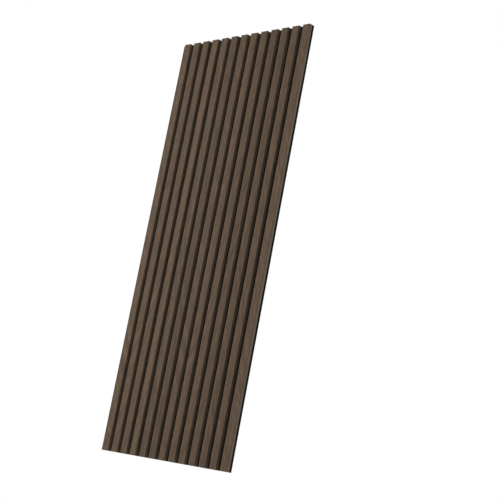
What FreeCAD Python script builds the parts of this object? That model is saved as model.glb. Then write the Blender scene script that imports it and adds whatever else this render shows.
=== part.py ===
import FreeCAD, Part
import math
import os
import Sketcher

# Acoustic slat wall panel: veneered fibreboard slats glued side by side to a sheet of felt.
# X runs across the slats, Y through the thickness and Z along the slats. The wall side of the
# felt lies in the plane Y = 0, the slats face -Y, and the origin is the middle of that side.

NODE_FOLDER = "parts"

# Driving sizes in millimetres, and the number of slats
DRIVING_SIZES = (
    ("panelLength", 1220, "length of the slats and of the felt"),
    ("slatCount", 13, "number of slats"),
    ("slatWidth", 26, "width of a slat over its veneer"),
    ("slatGap", 14, "bare felt between two slats, and outside the first one"),
    ("slatThickness", 10, "height of a slat's face above the felt"),
    ("veneerThickness", 0.5, "thickness of the veneer wrapped round each core"),
    ("coreEdgeRadius", 0.4, "rounding of a core's two front edges under the veneer"),
    ("feltThickness", 8, "thickness of the felt sheet"),
)

doc = FreeCAD.newDocument("AcousticSlatPanel")
sizes = doc.addObject("Spreadsheet::Sheet", "Sizes")
for row, (alias, number, note) in enumerate(DRIVING_SIZES, start=1):
    sizes.set(f"A{row}", note)
    sizes.set(f"B{row}", str(number))
    sizes.setAlias(f"B{row}", alias)
doc.recompute()

# Sizes that follow from the driving ones
slatCount = round(sizes.slatCount)
slatPitch = "(Sizes.slatWidth + Sizes.slatGap)"
feltWidth = f"({slatCount} * {slatPitch})"
coreWidth = "(Sizes.slatWidth - 2 * Sizes.veneerThickness)"
coreThickness = "(Sizes.slatThickness - Sizes.veneerThickness)"
veneerEdgeRadius = "(Sizes.coreEdgeRadius + Sizes.veneerThickness)"


def valueOf(expression):
    return float(sizes.evalExpression(expression))


def newBody(name):
    body = doc.addObject("PartDesign::Body", name)
    body.Label = name
    return body


# A sketch across the slats, on the body's own XY plane
def crossSketch(body, name):
    sketch = body.newObject("Sketcher::SketchObject", name)
    plane = next(item for item in body.Origin.OriginFeatures if item.Role == "XY_Plane")
    sketch.AttachmentSupport = [(plane, "")]
    sketch.MapMode = "FlatFace"
    return sketch


def bindSize(sketch, kind, references, name, expression):
    index = sketch.addConstraint(Sketcher.Constraint(kind, *references, valueOf(expression)))
    sketch.renameConstraint(index, name)
    sketch.setExpression(f"Constraints.{name}", expression)


# Flat stock: a rectangle centred on X with its back edge on the X axis
def rectangleSketch(body, name, width, depth):
    sketch = crossSketch(body, name)
    half = valueOf(width) / 2
    front = -valueOf(depth)
    corners = [FreeCAD.Vector(x, y, 0) for x, y in ((-half, 0), (half, 0), (half, front), (-half, front))]
    back, right, face, left = sketch.addGeometry(
        [Part.LineSegment(corners[i], corners[(i + 1) % 4]) for i in range(4)], False
    )
    for first, second in ((back, right), (right, face), (face, left), (left, back)):
        sketch.addConstraint(Sketcher.Constraint("Coincident", first, 2, second, 1))
    sketch.addConstraint(
        [
            Sketcher.Constraint("Horizontal", back),
            Sketcher.Constraint("Horizontal", face),
            Sketcher.Constraint("Vertical", right),
            Sketcher.Constraint("Vertical", left),
            Sketcher.Constraint("Symmetric", back, 1, back, 2, -1, 1),
        ]
    )
    bindSize(sketch, "DistanceX", (back, 1, back, 2), "width", width)
    bindSize(sketch, "DistanceY", (face, 1, -1, 1), "depth", depth)
    return sketch


# Section of a slat: square at the felt, with its two front corners rounded
def slatSketch(body, name, width, depth, radius):
    sketch = crossSketch(body, name)
    half, front, bend = valueOf(width) / 2, -valueOf(depth), valueOf(radius)
    normal = FreeCAD.Vector(0, 0, 1)

    def point(x, y):
        return FreeCAD.Vector(x, y, 0)

    def corner(x, start):
        circle = Part.Circle(point(x, front + bend), normal, bend)
        return Part.ArcOfCircle(circle, start, start + math.pi / 2)

    back, right, rightCorner, face, leftCorner, left = sketch.addGeometry(
        [
            Part.LineSegment(point(-half, 0), point(half, 0)),
            Part.LineSegment(point(half, 0), point(half, front + bend)),
            corner(half - bend, -math.pi / 2),
            Part.LineSegment(point(half - bend, front), point(bend - half, front)),
            corner(bend - half, math.pi),
            Part.LineSegment(point(-half, front + bend), point(-half, 0)),
        ],
        False,
    )
    sketch.addConstraint(
        [
            Sketcher.Constraint("Coincident", back, 2, right, 1),
            Sketcher.Constraint("Coincident", left, 2, back, 1),
            Sketcher.Constraint("Tangent", right, 2, rightCorner, 2),
            Sketcher.Constraint("Tangent", rightCorner, 1, face, 1),
            Sketcher.Constraint("Tangent", face, 2, leftCorner, 2),
            Sketcher.Constraint("Tangent", leftCorner, 1, left, 1),
            Sketcher.Constraint("Horizontal", back),
            Sketcher.Constraint("Horizontal", face),
            Sketcher.Constraint("Vertical", right),
            Sketcher.Constraint("Vertical", left),
            Sketcher.Constraint("Equal", rightCorner, leftCorner),
            Sketcher.Constraint("Symmetric", back, 1, back, 2, -1, 1),
        ]
    )
    bindSize(sketch, "DistanceX", (back, 1, back, 2), "width", width)
    bindSize(sketch, "DistanceY", (face, 1, -1, 1), "depth", depth)
    bindSize(sketch, "Radius", (rightCorner,), "radius", radius)
    return sketch


# The section runs the panel's whole length, as far above the XY plane as below it
def fullLengthPad(body, name, sketch):
    pad = body.newObject("PartDesign::Pad", name)
    pad.Profile = sketch
    pad.SideType = "Symmetric"
    pad.setExpression("Length", "Sizes.panelLength")
    return pad


def feltBacking():
    body = newBody("felt_backing")
    sketch = rectangleSketch(body, "FeltSection", feltWidth, "Sizes.feltThickness")
    fullLengthPad(body, "FeltSheet", sketch)
    return body


# The last slat is flush with the felt's edge, and the rest follow it at the pitch. Outside the first
# one a gap's width of felt stays bare, so that the slats keep their pitch from one panel to the next.
def seatOnFelt(body, number):
    stepsFromEdge = slatCount - number
    place = f"{feltWidth} / 2 - Sizes.slatWidth / 2 - {stepsFromEdge} * {slatPitch}"
    body.setExpression("Placement.Base.x", place)
    body.setExpression("Placement.Base.y", "-Sizes.feltThickness")


def slatCore(number):
    body = newBody(f"slat_core_{number:02d}")
    sketch = slatSketch(body, f"CoreSection{number}", coreWidth, coreThickness, "Sizes.coreEdgeRadius")
    fullLengthPad(body, f"CoreBar{number}", sketch)
    seatOnFelt(body, number)
    return body


# The veneer is the slat's outer section less the core that it is wrapped round
def slatVeneer(number):
    body = newBody(f"slat_veneer_{number:02d}")
    outside = slatSketch(
        body, f"SlatSection{number}", "Sizes.slatWidth", "Sizes.slatThickness", veneerEdgeRadius
    )
    fullLengthPad(body, f"SlatBar{number}", outside)
    doc.recompute()
    inside = slatSketch(body, f"ChannelSection{number}", coreWidth, coreThickness, "Sizes.coreEdgeRadius")
    channel = body.newObject("PartDesign::Pocket", f"CoreChannel{number}")
    channel.Profile = inside
    channel.Type = "ThroughAll"
    channel.SideType = "Symmetric"
    seatOnFelt(body, number)
    return body


def checkDocument(nodes):
    for item in doc.Objects:
        if {"Invalid", "Error"} & set(item.State):
            raise RuntimeError(f"{item.Name} did not build: {item.State}")
    for body in nodes:
        if body.Shape.isNull() or not body.Shape.isValid() or len(body.Shape.Solids) != 1:
            raise RuntimeError(f"{body.Label} is not one sound solid")


# A core fills its veneer's channel: the two together have the volume of the whole slat
def checkWrap(number):
    whole = doc.getObject(f"SlatBar{number}").Shape.Volume
    core = doc.getObject(f"slat_core_{number:02d}").Shape.Volume
    veneer = doc.getObject(f"slat_veneer_{number:02d}").Shape.Volume
    if abs(whole - core - veneer) > 1e-6 * whole:
        raise RuntimeError(f"the veneer of slat {number} does not close round its core")


slatNumbers = range(1, slatCount + 1)
nodes = [feltBacking()]
for number in slatNumbers:
    nodes += [slatCore(number), slatVeneer(number)]
doc.recompute()

checkDocument(nodes)
for number in slatNumbers:
    checkWrap(number)

os.makedirs(NODE_FOLDER, exist_ok=True)
for body in nodes:
    body.Shape.exportStep(os.path.join(NODE_FOLDER, f"{body.Label}.step"))
print(f"{len(nodes)} nodes written")
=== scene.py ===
import math

import bpy
from mathutils import Matrix, Vector


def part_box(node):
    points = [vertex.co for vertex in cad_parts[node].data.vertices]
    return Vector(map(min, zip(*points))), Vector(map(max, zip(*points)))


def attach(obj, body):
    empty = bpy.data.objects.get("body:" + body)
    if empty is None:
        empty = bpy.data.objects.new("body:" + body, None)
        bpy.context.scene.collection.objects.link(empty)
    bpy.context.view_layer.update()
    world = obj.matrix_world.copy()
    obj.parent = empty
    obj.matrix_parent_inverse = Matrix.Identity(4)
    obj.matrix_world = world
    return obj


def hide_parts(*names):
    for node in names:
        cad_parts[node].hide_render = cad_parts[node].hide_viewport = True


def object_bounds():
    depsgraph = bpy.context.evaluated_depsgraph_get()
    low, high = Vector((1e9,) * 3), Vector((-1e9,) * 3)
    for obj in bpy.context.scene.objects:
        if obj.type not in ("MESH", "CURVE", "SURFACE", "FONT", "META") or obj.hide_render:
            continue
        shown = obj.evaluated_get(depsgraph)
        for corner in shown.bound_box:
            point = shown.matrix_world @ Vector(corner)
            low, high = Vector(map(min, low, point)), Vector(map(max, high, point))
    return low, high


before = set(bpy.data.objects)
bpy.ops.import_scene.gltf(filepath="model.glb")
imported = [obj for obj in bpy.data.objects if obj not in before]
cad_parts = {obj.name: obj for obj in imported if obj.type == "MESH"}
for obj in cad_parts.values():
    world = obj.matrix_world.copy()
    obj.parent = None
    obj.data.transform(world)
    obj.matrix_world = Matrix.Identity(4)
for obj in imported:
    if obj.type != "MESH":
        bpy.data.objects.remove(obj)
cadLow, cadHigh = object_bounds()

mm = 0.001
print("frame loaded:", len(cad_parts), "nodes")


# selecting and shaping pieces

def selectOnly(piece):
    if bpy.context.mode != "OBJECT":
        bpy.ops.object.mode_set(mode="OBJECT")
    bpy.ops.object.select_all(action="DESELECT")
    piece.select_set(True)
    bpy.context.view_layer.objects.active = piece


def startPick(piece, points=False, edges=False, faces=False):  # nothing of the mesh is selected after this
    selectOnly(piece)
    bpy.ops.object.mode_set(mode="EDIT")
    bpy.ops.mesh.select_all(action="DESELECT")
    bpy.ops.object.mode_set(mode="OBJECT")
    bpy.context.tool_settings.mesh_select_mode = (points, edges, faces)


# each pick leaves the piece in edit mode with the wanted parts selected
def pickPoints(piece, wanted):
    startPick(piece, points=True)
    for point in piece.data.vertices:
        point.select = wanted(point.co)
    bpy.ops.object.mode_set(mode="EDIT")


def pickEdges(piece, wanted):
    startPick(piece, edges=True)
    points = piece.data.vertices
    for edge in piece.data.edges:
        edge.select = wanted(points[edge.vertices[0]].co, points[edge.vertices[1]].co)
    bpy.ops.object.mode_set(mode="EDIT")


def pickFaces(piece, wanted):
    startPick(piece, faces=True)
    for face in piece.data.polygons:
        face.select = wanted(face)
    bpy.ops.object.mode_set(mode="EDIT")


def startBlock(name, low, high):  # a block with the given corners, its place in its mesh
    bpy.ops.object.select_all(action="DESELECT")
    bpy.ops.mesh.primitive_cube_add(size=1, location=(low + high) / 2, scale=high - low)
    block = bpy.context.object
    block.name = name
    block.data.name = name
    bpy.ops.object.transform_apply(location=True, rotation=True, scale=True)
    return block


def applyModifier(piece, kind, **settings):
    selectOnly(piece)
    modifier = piece.modifiers.new(kind.title(), kind)
    for name, value in settings.items():
        setattr(modifier, name, value)
    bpy.ops.object.modifier_apply(modifier=modifier.name)


def cutRows(piece, rows):  # divides the long edges, so that the piece has rows along its length
    pickEdges(piece, lambda a, b: abs(a.z - b.z) > 10 * mm)
    bpy.ops.mesh.subdivide(number_cuts=rows - 1)
    bpy.ops.object.mode_set(mode="OBJECT")


def smoothBelow(degrees):  # smooth shading on the selected piece, but over sharper edges
    bpy.ops.object.shade_smooth_by_angle(angle=math.radians(degrees))


def copyAcross(piece, name, shift):  # a copy with its own mesh, moved across the panel
    selectOnly(piece)
    bpy.ops.object.duplicate(linked=False)
    copy = bpy.context.object
    copy.name = name
    copy.data.name = name
    bpy.ops.transform.translate(value=(shift, 0, 0))
    bpy.ops.object.transform_apply(location=True, rotation=True, scale=True)
    return copy


def onFrame(piece, node, material):
    piece.data.materials.clear()
    piece.data.materials.append(material)
    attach(piece, "root")
    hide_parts(node)


# node helpers for the materials

def newMaterial(name):
    material = bpy.data.materials.new(name)
    material.use_nodes = True
    return material, material.node_tree, material.node_tree.nodes["Principled BSDF"]


def setSocket(tree, socket, value):
    if isinstance(value, bpy.types.NodeSocket):
        tree.links.new(value, socket)
    else:
        socket.default_value = value


def addNode(tree, kind, inputs=None, **settings):
    node = tree.nodes.new(kind)
    for name, value in settings.items():
        setattr(node, name, value)
    for socket, value in (inputs or {}).items():
        setSocket(tree, node.inputs[socket], value)
    return node


def sums(tree, how, first, second=0.0):
    return addNode(tree, "ShaderNodeMath", {0: first, 1: second}, operation=how).outputs[0]


def spread(tree, value, low, high, newLow=0.0, newHigh=1.0):
    sockets = {"Value": value, "From Min": low, "From Max": high, "To Min": newLow, "To Max": newHigh}
    return addNode(tree, "ShaderNodeMapRange", sockets).outputs["Result"]


def turned(tree, place, angle):
    return addNode(
        tree, "ShaderNodeVectorRotate", {"Vector": place, "Angle": angle}, rotation_type="Z_AXIS"
    ).outputs[0]


# a look gives a pattern as its repeats per metre along each axis, its detail and its roughness,
# and for most also the stretch of its noise that is used and what that stretch becomes
def pattern(tree, place, settings, start=(0, 0, 0), distortion=0.0):
    perMetre, detail, roughness = settings[:3]
    mapping = {"Vector": place, "Scale": perMetre, "Location": start}
    stretched = addNode(tree, "ShaderNodeMapping", mapping).outputs["Vector"]
    noise = {
        "Vector": stretched, "Scale": 1.0, "Detail": detail,
        "Roughness": roughness, "Distortion": distortion,
    }
    return addNode(tree, "ShaderNodeTexNoise", noise).outputs["Fac"]


def effect(tree, value, settings):
    used, becomes = settings[3:]
    return spread(tree, value, *used, *becomes)


def blendColours(tree, factor, first, second, how="MIX"):
    mix = addNode(tree, "ShaderNodeMix", data_type="RGBA", blend_type=how)
    setSocket(tree, mix.inputs[0], factor)
    setSocket(tree, mix.inputs[6], first)
    setSocket(tree, mix.inputs[7], second)
    return mix.outputs[2]


def shade(tree, colour, amount):  # multiplies a colour by a grey amount
    grey = addNode(tree, "ShaderNodeCombineColor", {"Red": amount, "Green": amount, "Blue": amount})
    return blendColours(tree, 1.0, colour, grey.outputs[0], "MULTIPLY")


def finishShader(tree, shader, look, colour, height):
    tree.links.new(colour, shader.inputs["Base Color"])
    bump = addNode(
        tree, "ShaderNodeBump", {"Height": height, "Strength": look["bump"], "Distance": look["relief"]}
    )
    tree.links.new(bump.outputs["Normal"], shader.inputs["Normal"])
    shader.inputs["Roughness"].default_value = look["roughness"]
    shader.inputs["Specular IOR Level"].default_value = look["gloss"]


# the smoked veneer, one sheet across the whole panel: u across the slats and v along them, in metres
veneerLook = {
    "light": (0.1405, 0.0889, 0.0484, 1),
    "dark": (0.0945, 0.0576, 0.0303, 1),
    "reddish": (1.055, 0.967, 1.01, 1),
    "olive": (0.95, 1.028, 0.985, 1),
    "honey": (1.00, 1.00, 0.94, 1),
    "ashy": (1.00, 1.00, 1.05, 1),
    # painted sheen: a lighter, greyer colour for the slats' sides, standing in for a reflection
    "sideSheenGrey": (0.114, 0.100, 0.077, 1),
    "sideSheenShare": 0.6,           # painted sheen: how far the slats' sides go towards that lighter grey
    "foldPaintedShade": 0.88,          # painted shade: how much of its colour the veneer loses along a fold

    "leafWidth": 0.12,          # three slats: the arched figure is mirrored where two leaves of veneer meet
    "leafStart": -0.027,        # puts those lines deep in the gaps
    "heartDistance": 0.04,      # from the sheet to the middle of the trunk, which rounds the arches' tips
    "taper": 0.25,              # how fast the trunk thins along its length: it opens the arches upwards
    "ringsPerMetre": 120.0,
    "ringDetail": 2.0,
    "ringRoughness": 0.55,
    "ringRange": (0.25, 0.75),  # stretch of the rings' noise between the dark and the light colour
    "ringWander": ((14.0, 3.2, 1), 3.0, 0.55, (0, 1), (-0.016, 0.016)),

    "tints": ((75.0, 15.0, 1), 4.0, 0.7, (0.38, 0.62), (0, 1)),         # olive to reddish
    "hues": ((46.0, 19.0, 1), 4.0, 0.75, (0.36, 0.64), (0, 1)),         # honey to ashy
    "clouds": ((75.0, 17.0, 1), 5.0, 0.8, (0.35, 0.65), (0.77, 1.23)),  # soft blotches
    "grain": ((900.0, 9.0, 1), 5.0, 0.62, (0.3, 0.7), (0.76, 1.24)),
    "grainWobble": 0.3,
    "streaks": ((240.0, 3.5, 1), 3.0, 0.6, (0.35, 0.65), (0.89, 1.11)),
    "specks": ((430.0, 60.0, 1), 2.0, 0.6, (0.55, 0.68), (1.0, 0.7)),   # small dark flecks
    "pores": ((2200.0, 45.0, 1), 2.0, 0.5, (0.58, 0.68), (0, 1)),
    "poreShade": 0.55,
    "rays": ((190.0, 30.0, 1), 1.0, 0.5, (0.57, 0.73), (1.0, 1.14)),    # pale strokes
    "rayTurn": 0.38,            # radians from the grain, which lays them along the arches' arms
    "broad": ((21.0, 0.12, 1), 1.0, 0.5, (0.3, 0.7), (0.76, 1.24)),     # tone from one slat to the next
    "broadStart": (75.0, 7.0, 0),

    "roughness": 0.6,
    "roughnessSwing": 0.08,     # with the grain
    "gloss": 0.2,
    "relief": 0.06 * mm,
    "bump": 0.5,
}


def mirroredLeaves(tree, sheet):  # the sheet's coordinates, turned over in each second leaf of veneer
    axes = addNode(tree, "ShaderNodeSeparateXYZ", {0: sheet}).outputs
    shifted = sums(tree, "ADD", axes[0], veneerLook["leafStart"])
    across = sums(tree, "PINGPONG", shifted, veneerLook["leafWidth"])
    return addNode(tree, "ShaderNodeCombineXYZ", {0: across, 1: axes[1]}).outputs[0]


# growth rings of a tapering trunk, which a flat cut turns into nested arches
def arches(tree, sheet, leaves):
    look = veneerLook
    axes = addNode(tree, "ShaderNodeSeparateXYZ", {0: leaves}).outputs
    square = sums(tree, "ADD", sums(tree, "MULTIPLY", axes[0], axes[0]), look["heartDistance"] ** 2)
    fromHeart = sums(tree, "SQRT", square)
    thinning = sums(tree, "MULTIPLY", axes[1], look["taper"])
    wander = effect(tree, pattern(tree, sheet, look["ringWander"]), look["ringWander"])
    radius = sums(tree, "ADD", sums(tree, "SUBTRACT", fromHeart, thinning), wander)
    rings = {
        "W": radius, "Scale": look["ringsPerMetre"],
        "Detail": look["ringDetail"], "Roughness": look["ringRoughness"],
    }
    return addNode(tree, "ShaderNodeTexNoise", rings, noise_dimensions="1D").outputs["Fac"]


def veneerMaterial():
    look = veneerLook
    material, tree, shader = newMaterial("smokedVeneer")
    sheet = addNode(tree, "ShaderNodeUVMap", uv_map="unrolled").outputs["UV"]
    wrap = addNode(tree, "ShaderNodeAttribute", attribute_name="wrap").outputs["Fac"]
    leaves = mirroredLeaves(tree, sheet)

    def shadedBy(colour, name, value):
        return shade(tree, colour, effect(tree, value, look[name]))

    figure = spread(tree, arches(tree, sheet, leaves), *look["ringRange"])
    colour = blendColours(tree, figure, look["dark"], look["light"])
    colour = shadedBy(colour, "clouds", pattern(tree, sheet, look["clouds"]))
    for name, first, second in (("tints", "olive", "reddish"), ("hues", "honey", "ashy")):
        share = effect(tree, pattern(tree, sheet, look[name]), look[name])
        tint = blendColours(tree, share, look[first], look[second])
        colour = blendColours(tree, 1.0, colour, tint, "MULTIPLY")
    # painted sheen: the sides mixed towards a lighter grey, as a reflection from the back right would show
    colour = blendColours(tree, sums(tree, "MULTIPLY", wrap, look["sideSheenShare"]), colour, look["sideSheenGrey"])

    grain = pattern(tree, sheet, look["grain"], distortion=look["grainWobble"])
    colour = shadedBy(colour, "grain", grain)
    for name in ("streaks", "specks"):
        colour = shadedBy(colour, name, pattern(tree, sheet, look[name]))
    poreDepth = effect(tree, pattern(tree, sheet, look["pores"]), look["pores"])
    colour = shade(tree, colour, spread(tree, poreDepth, 0, 1, 1.0, look["poreShade"]))
    colour = shadedBy(colour, "rays", pattern(tree, turned(tree, leaves, look["rayTurn"]), look["rays"]))
    colour = shadedBy(colour, "broad", pattern(tree, sheet, look["broad"], start=look["broadStart"]))
    # painted shade along each fold: the veneer darkened where its rounded edge is shaded
    fold = sums(tree, "MULTIPLY", wrap, sums(tree, "SUBTRACT", 1.0, wrap))  # a quarter, halfway round a fold
    colour = shade(tree, colour, spread(tree, fold, 0, 0.25, 1.0, 1 - look["foldPaintedShade"]))

    finishShader(tree, shader, look, colour, sums(tree, "SUBTRACT", grain, poreDepth))
    smooth = look["roughness"] - look["roughnessSwing"]
    rough = look["roughness"] + look["roughnessSwing"]
    grainUsed = look["grain"][3]
    tree.links.new(spread(tree, grain, *grainUsed, smooth, rough), shader.inputs["Roughness"])
    return material


# the fibreboard core, seen only at the slats' ends: denser and darker towards its faces
coreLook = {
    "heart": (0.045, 0.033, 0.024, 1),
    "face": (0.024, 0.018, 0.014, 1),
    "fibres": ((1400.0, 1400.0, 1400.0), 4.0, 0.6, (0.35, 0.65), (0.7, 1.35)),
    "roughness": 0.85,
    "gloss": 0.15,
    "relief": 0.08 * mm,
    "bump": 0.6,
}


def coreMaterial(low, high):
    look = coreLook
    material, tree, shader = newMaterial("coreBoard")
    place = addNode(tree, "ShaderNodeTexCoord").outputs["Object"]
    depth = addNode(tree, "ShaderNodeSeparateXYZ", {0: place}).outputs[1]
    offCentre = sums(tree, "ABSOLUTE", sums(tree, "SUBTRACT", depth, (low.y + high.y) / 2))
    density = spread(tree, offCentre, 0, (high.y - low.y) / 2)
    fibres = pattern(tree, place, look["fibres"])
    colour = blendColours(tree, sums(tree, "MULTIPLY", density, density), look["heart"], look["face"])
    colour = shade(tree, colour, effect(tree, fibres, look["fibres"]))
    finishShader(tree, shader, look, colour, fibres)
    return material


# the black felt: matted fibres on its faces, fine layers on its cut edges
feltLook = {
    "ground": (0.0038, 0.0038, 0.0038, 1),
    "fibre": (0.015, 0.015, 0.0145, 1),
    "mat": ((900.0, 900.0, 900.0), 4.0, 0.65),
    "threads": ((2600.0, 160.0, 2600.0), 1.0, 0.5, (0.6, 0.72), (0.4, 1.0)),
    "threadTurns": (0.3, 1.35, 2.4),
    "threadWobble": 0.6,
    "layers": ((70.0, 2400.0, 70.0), 3.0, 0.6),
    "layerShare": 0.3,
    "fibreRange": (0.5, 1.2),   # stretch of the whole pattern between the ground and the fibres' colour
    "roughness": 0.95,
    "gloss": 0.06,
    "relief": 0.25 * mm,
    "bump": 0.5,
}


def feltMaterial():
    look = feltLook
    material, tree, shader = newMaterial("backingFelt")
    place = addNode(tree, "ShaderNodeTexCoord").outputs["Object"]
    axes = addNode(tree, "ShaderNodeSeparateXYZ", {0: place}).outputs
    face = addNode(tree, "ShaderNodeCombineXYZ", {0: axes[0], 1: axes[2], 2: axes[1]}).outputs[0]
    matted = pattern(tree, face, look["mat"])
    for turn in look["threadTurns"]:
        thread = pattern(tree, turned(tree, face, turn), look["threads"], distortion=look["threadWobble"])
        matted = sums(tree, "MAXIMUM", matted, effect(tree, thread, look["threads"]))
    layers = pattern(tree, place, look["layers"])
    whole = sums(tree, "ADD", matted, sums(tree, "MULTIPLY", layers, look["layerShare"]))
    colour = blendColours(tree, spread(tree, whole, *look["fibreRange"]), look["ground"], look["fibre"])
    finishShader(tree, shader, look, colour, sums(tree, "ADD", matted, layers))
    return material


# the slats
slatShape = {
    "foldRadius": 0.9 * mm,  # outside of the veneer's two folds
    "foldSteps": 6,
    "rows": 24,
    "arris": 0.1 * mm,
    "arrisFrom": 50,         # degrees between two faces from which their edge gets an arris
    "coreSteps": 4,
    "endSink": 0.12 * mm,    # the sawn core lies this far inside the veneer's ends
    "endEase": 0.4 * mm,     # width and height of the slope round each sawn end
    "endRise": 0.05 * mm,
    "smoothBelow": 35,       # degrees
}

veneerNodes = sorted(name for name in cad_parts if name.startswith("slat_veneer"))
coreNodes = sorted(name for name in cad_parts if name.startswith("slat_core"))


def wrapThickness():
    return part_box(veneerNodes[0])[1].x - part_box(coreNodes[0])[1].x


def copyToNode(model, firstNode, node, label):  # a copy of the first slat's piece, in another slat's place
    number = int(node.rsplit("_", 1)[1])
    return copyAcross(model, f"{label}{number:02d}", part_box(node)[0].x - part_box(firstNode)[0].x)


def unroll(piece, node):  # writes the veneer's place on its flat sheet, in metres, as its UV map
    low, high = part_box(node)
    middle = (low.x + high.x) / 2
    layer = piece.data.uv_layers.new(name="unrolled")
    for loop in piece.data.loops:
        point = piece.data.vertices[loop.vertex_index].co
        fold = math.copysign(point.y - low.y, point.x - middle)
        layer.data[loop.index].uv = (point.x + fold, point.z)


def markFolds(piece, node):  # an attribute that goes from 0 on the front round each fold to 1 on the sides
    low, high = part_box(node)
    radius = slatShape["foldRadius"]
    wrap = piece.data.attributes.new("wrap", "FLOAT", "POINT")
    for point, value in zip(piece.data.vertices, wrap.data):
        fromSide = min(point.co.x - low.x, high.x - point.co.x)
        ahead = radius - (point.co.y - low.y)
        aside = radius - fromSide
        value.value = math.atan2(max(aside, 0), max(ahead, 1e-9)) / (math.pi / 2)


def roundFrontCorners(piece, front, radius, steps):
    def atFront(point):
        return abs(point.y - front) < mm
    pickEdges(piece, lambda a, b: atFront(a) and atFront(b) and abs(a.z - b.z) > mm)
    bpy.ops.mesh.bevel(offset=radius, offset_type="OFFSET", segments=steps, profile=0.5, affect="EDGES")


def modelVeneer(node):  # the front and two sides of a block, folded and then given the veneer's thickness
    low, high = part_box(node)
    piece = startBlock("slatVeneerModel", low, high)
    pickFaces(piece, lambda face: face.normal.y > 0.5 or abs(face.normal.z) > 0.5)
    bpy.ops.mesh.delete(type="FACE")
    roundFrontCorners(piece, low.y, slatShape["foldRadius"], slatShape["foldSteps"])
    cutRows(piece, slatShape["rows"])
    applyModifier(piece, "SOLIDIFY", thickness=wrapThickness(), offset=-1.0, use_even_offset=True)
    applyModifier(
        piece, "BEVEL", width=slatShape["arris"], segments=1, limit_method="ANGLE",
        angle_limit=math.radians(slatShape["arrisFrom"]),
    )
    smoothBelow(slatShape["smoothBelow"])
    return piece


def modelCore(node):
    low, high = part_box(node)
    sink = Vector((0, 0, slatShape["endSink"]))
    piece = startBlock("slatCoreModel", low + sink, high - sink)
    roundFrontCorners(piece, low.y, slatShape["foldRadius"] - wrapThickness(), slatShape["coreSteps"])
    pickFaces(piece, lambda face: abs(face.normal.z) > 0.5)
    bpy.ops.mesh.inset(thickness=slatShape["endEase"], depth=slatShape["endRise"])
    bpy.ops.object.mode_set(mode="OBJECT")
    smoothBelow(slatShape["smoothBelow"])
    return piece


def makeVeneers():
    material = veneerMaterial()
    model = modelVeneer(veneerNodes[0])
    for node in veneerNodes:
        piece = copyToNode(model, veneerNodes[0], node, "slatVeneer")
        unroll(piece, node)
        markFolds(piece, node)
        onFrame(piece, node, material)
    bpy.data.objects.remove(model)
    print("veneers:", len(veneerNodes))


def makeCores():
    material = coreMaterial(*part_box(coreNodes[0]))
    model = modelCore(coreNodes[0])
    for node in coreNodes:
        piece = copyToNode(model, coreNodes[0], node, "slatCore")
        onFrame(piece, node, material)
    bpy.data.objects.remove(model)
    print("cores:", len(coreNodes))


# the felt sheet
feltShape = {
    "cutEdge": 0.8 * mm,     # rounding of the cut edges
    "cutEdgeSteps": 3,
    "swell": 0.6 * mm,       # how far the felt stands up between the slats that press on it
    "shoulder": 2.5 * mm,    # distance from a slat at which it has come up
    "rows": 61,
    "lumps": 0.22 * mm,
    "lumpSize": 45 * mm,
    "smoothBelow": 40,       # degrees
}


def bareStrips():  # left and right of each strip of felt that no slat covers
    edges = [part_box("felt_backing")[0].x]
    for node in veneerNodes:
        low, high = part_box(node)
        edges += [low.x, high.x]
    return list(zip(edges[0:-1:2], edges[1::2]))


def cutAlong(piece, place):  # a cut through the whole sheet, along the slats
    bpy.ops.object.mode_set(mode="EDIT")
    bpy.ops.mesh.select_all(action="SELECT")
    bpy.ops.mesh.bisect(plane_co=(place, 0, 0), plane_no=(1, 0, 0))


def makeFelt():
    low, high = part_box("felt_backing")
    piece = startBlock("feltBacking", low, high)
    applyModifier(
        piece, "BEVEL", width=feltShape["cutEdge"], segments=feltShape["cutEdgeSteps"], limit_method="ANGLE"
    )
    strips = bareStrips()
    shoulder = feltShape["shoulder"]
    for left, right in strips:
        for place in (left, left + shoulder, right - shoulder, right):
            if place - low.x > 2 * feltShape["cutEdge"]:
                cutAlong(piece, place)
    cutRows(piece, feltShape["rows"])

    def raised(point):
        inside = any(left + mm < point.x < right - mm for left, right in strips)
        return inside and point.y < low.y + 0.1 * mm
    pickPoints(piece, raised)
    bpy.ops.transform.translate(value=(0, -feltShape["swell"], 0))
    bpy.ops.object.mode_set(mode="OBJECT")

    lumps = bpy.data.textures.new("feltLumps", "CLOUDS")
    lumps.noise_scale = feltShape["lumpSize"]
    applyModifier(piece, "DISPLACE", texture=lumps, strength=feltShape["lumps"], mid_level=0.5)
    smoothBelow(feltShape["smoothBelow"])
    onFrame(piece, "felt_backing", feltMaterial())
    print("felt:", len(piece.data.polygons), "faces")


makeFelt()
makeVeneers()
makeCores()


# floor, background and lights
stageSetup = {
    "drop": 0.38,             # metres from the panel's foot to the floor: its place is on a wall
    "reach": 20.0,
    "floorColour": (0.86, 0.86, 0.86, 1),
    "floorRoughness": 0.9,
    "floorGloss": 0.1,
    "white": (1, 1, 1, 1),
    "whiteFrom": (1.6, 4.5),  # metres from the object over which the floor seen turns plain white
    "nearWhite": 0.4,         # how much of that white it has close by
    "fill": 0.47,             # plain light from all round
    "lamps": {                # place, watts, width and height
        "keyLight": ((-1.15, -1.3, 0.15), 13.7, 0.9, 2.2),
        "sideLight": ((2.3, 2.0, 0.4), 14.0, 1.4, 1.4),
        "gapLight": ((2.4, -1.2, 0.3), 6.0, 1.2, 1.2),
    },
}


def seenDirectly(tree):  # 1 for rays from the camera, a reflection or glass, and 0 for light
    rays = addNode(tree, "ShaderNodeLightPath").outputs
    seen = sums(tree, "MAXIMUM", rays["Is Camera Ray"], rays["Is Glossy Ray"])
    return sums(tree, "MAXIMUM", seen, rays["Is Transmission Ray"])


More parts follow.
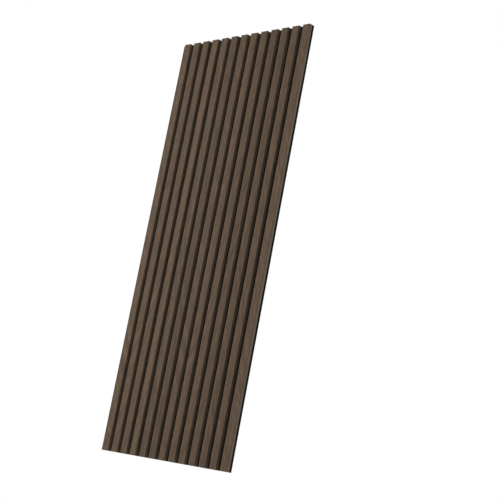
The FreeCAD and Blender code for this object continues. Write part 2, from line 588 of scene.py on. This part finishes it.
def floorMaterial():
    material, tree, shader = newMaterial("paleFloor")
    shader.inputs["Base Color"].default_value = stageSetup["floorColour"]
    shader.inputs["Roughness"].default_value = stageSetup["floorRoughness"]
    shader.inputs["Specular IOR Level"].default_value = stageSetup["floorGloss"]
    place = addNode(tree, "ShaderNodeTexCoord").outputs["Object"]
    distance = addNode(tree, "ShaderNodeVectorMath", {0: place}, operation="LENGTH").outputs["Value"]
    near, far = stageSetup["whiteFrom"]
    sockets = {
        "Value": distance, "From Min": near, "From Max": far,
        "To Min": stageSetup["nearWhite"], "To Max": 1.0,
    }
    whiteness = addNode(tree, "ShaderNodeMapRange", sockets, interpolation_type="SMOOTHSTEP").outputs["Result"]
    share = sums(tree, "MULTIPLY", whiteness, seenDirectly(tree))
    glow = addNode(tree, "ShaderNodeEmission", {"Color": stageSetup["white"], "Strength": 1.0}).outputs[0]
    mix = addNode(tree, "ShaderNodeMixShader", {0: share, 1: shader.outputs[0], 2: glow}).outputs[0]
    tree.links.new(mix, tree.nodes["Material Output"].inputs["Surface"])
    return material


def makeFloor():
    bpy.ops.object.select_all(action="DESELECT")
    bpy.ops.mesh.primitive_circle_add(
        vertices=96, radius=stageSetup["reach"], fill_type="NGON",
        location=(0, 0, cadLow.z - stageSetup["drop"]),
    )
    floor = bpy.context.object
    floor.name = "floor"
    floor.data.materials.append(floorMaterial())


def makeWorld():
    world = bpy.data.worlds.new("studio")
    bpy.context.scene.world = world
    world.use_nodes = True
    tree = world.node_tree
    background = tree.nodes["Background"]
    strength = spread(tree, seenDirectly(tree), 0, 1, stageSetup["fill"], 1.0)
    tree.links.new(strength, background.inputs["Strength"])
    background.inputs["Color"].default_value = stageSetup["white"]


def makeLamp(name, place, power, width, height):
    bpy.ops.object.light_add(type="AREA", location=place)
    lamp = bpy.context.object
    lamp.name = name
    lamp.data.energy = power
    lamp.data.shape = "RECTANGLE"
    lamp.data.size = width
    lamp.data.size_y = height
    lamp.rotation_euler = (-Vector(place)).to_track_quat("-Z", "Y").to_euler()


makeFloor()
makeWorld()
for lampName, settings in stageSetup["lamps"].items():
    makeLamp(lampName, *settings)
print("stage set")


# the photograph's viewpoint: a level camera, turned as a whole into the panel's upright frame
cameraSetup = {
    "turn": 15.0,                          # degrees, about the panel's X axis
    "heading": 44.961,                     # degrees, from square on to the slats
    "place": (2.5493, -2.3831, -0.0212),   # metres from the middle of the panel's back, before the turn
    "lens": 90.26,
    "sensor": 36.0,
}


def turnAbout(axis, degrees):
    return Matrix.Rotation(math.radians(degrees), 4, axis)


def makeCamera():
    data = bpy.data.cameras.new("camera")
    data.sensor_width = cameraSetup["sensor"]
    data.lens = cameraSetup["lens"]
    camera = bpy.data.objects.new("camera", data)
    bpy.context.scene.collection.objects.link(camera)
    level = Matrix.Translation(cameraSetup["place"]) @ turnAbout("Z", cameraSetup["heading"])
    level = level @ turnAbout("X", 90)  # a camera without this looks straight down
    camera.matrix_world = turnAbout("X", cameraSetup["turn"]) @ level
    bpy.context.scene.camera = camera


makeCamera()
bpy.context.scene.view_settings.view_transform = "Standard"

print("scene finished")
